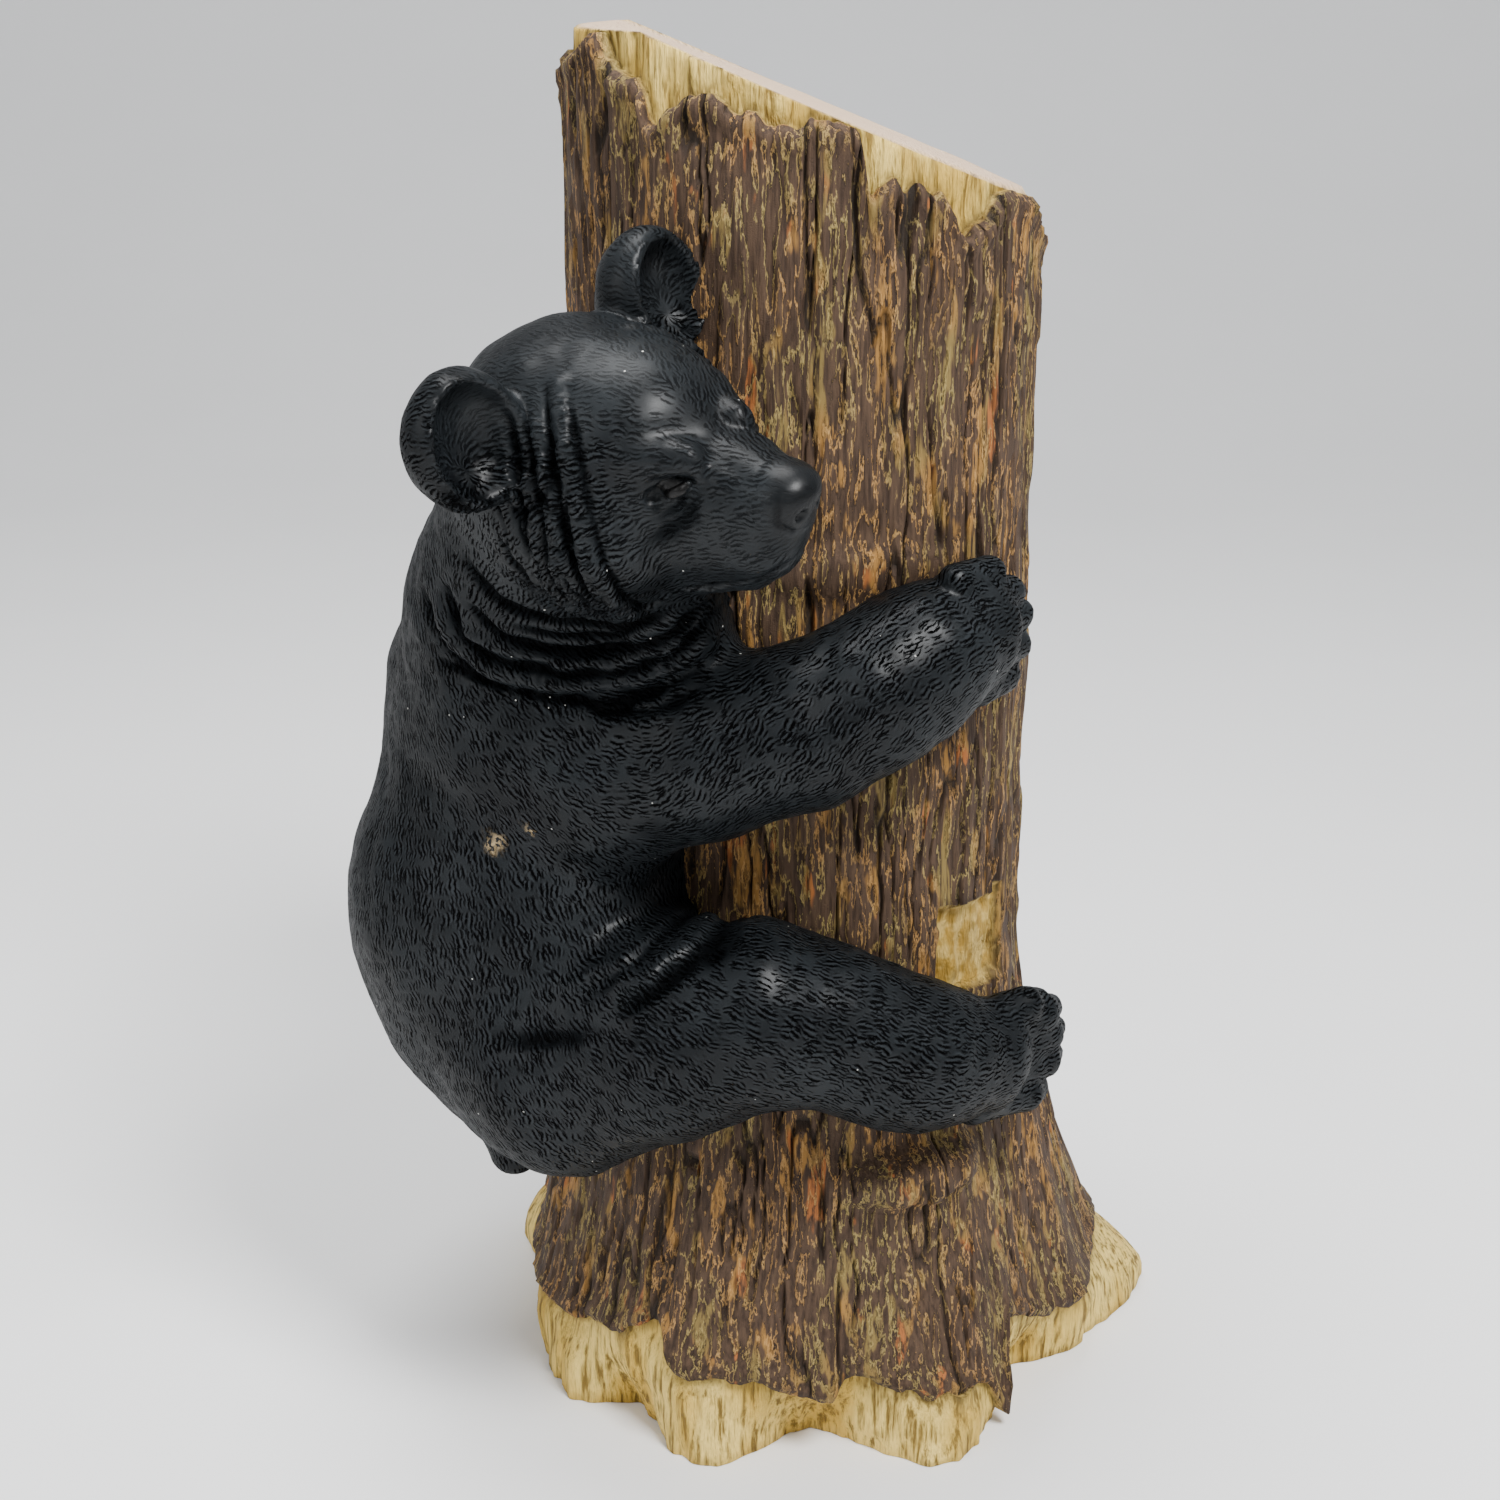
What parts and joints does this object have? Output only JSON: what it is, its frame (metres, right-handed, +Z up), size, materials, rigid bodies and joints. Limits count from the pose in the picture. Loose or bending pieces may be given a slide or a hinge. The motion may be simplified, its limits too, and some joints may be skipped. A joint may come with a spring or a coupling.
{
  "type": "climbing bear statue",
  "caption": "Garden statue of a black bear cub hugging a slant-cut tree trunk with its arms and legs, cast and painted as one piece.",
  "frame": {"origin": "middle of the flat underside, on the trunk's upright axis", "axes": "+Z up along the trunk; -Y the front, which shows the bear's right side and its face in profile; +X to the viewer's right, where the paws reach round the trunk"},
  "size_m": [0.5488, 0.5262, 0.894],
  "materials": {
    "bear_paint": "satin, near-black blue-grey paint over cast fur, lighter dry-brushed bloom on the head",
    "bark_paint": "matt dark brown paint with ochre and olive dry-brushed plates",
    "wood_paint": "matt cream-yellow paint with olive-brown chisel grooves"
  },
  "bodies": {
    "root": {"bear_and_trunk_casting": "bear_paint"}
  },
  "joints": []
}
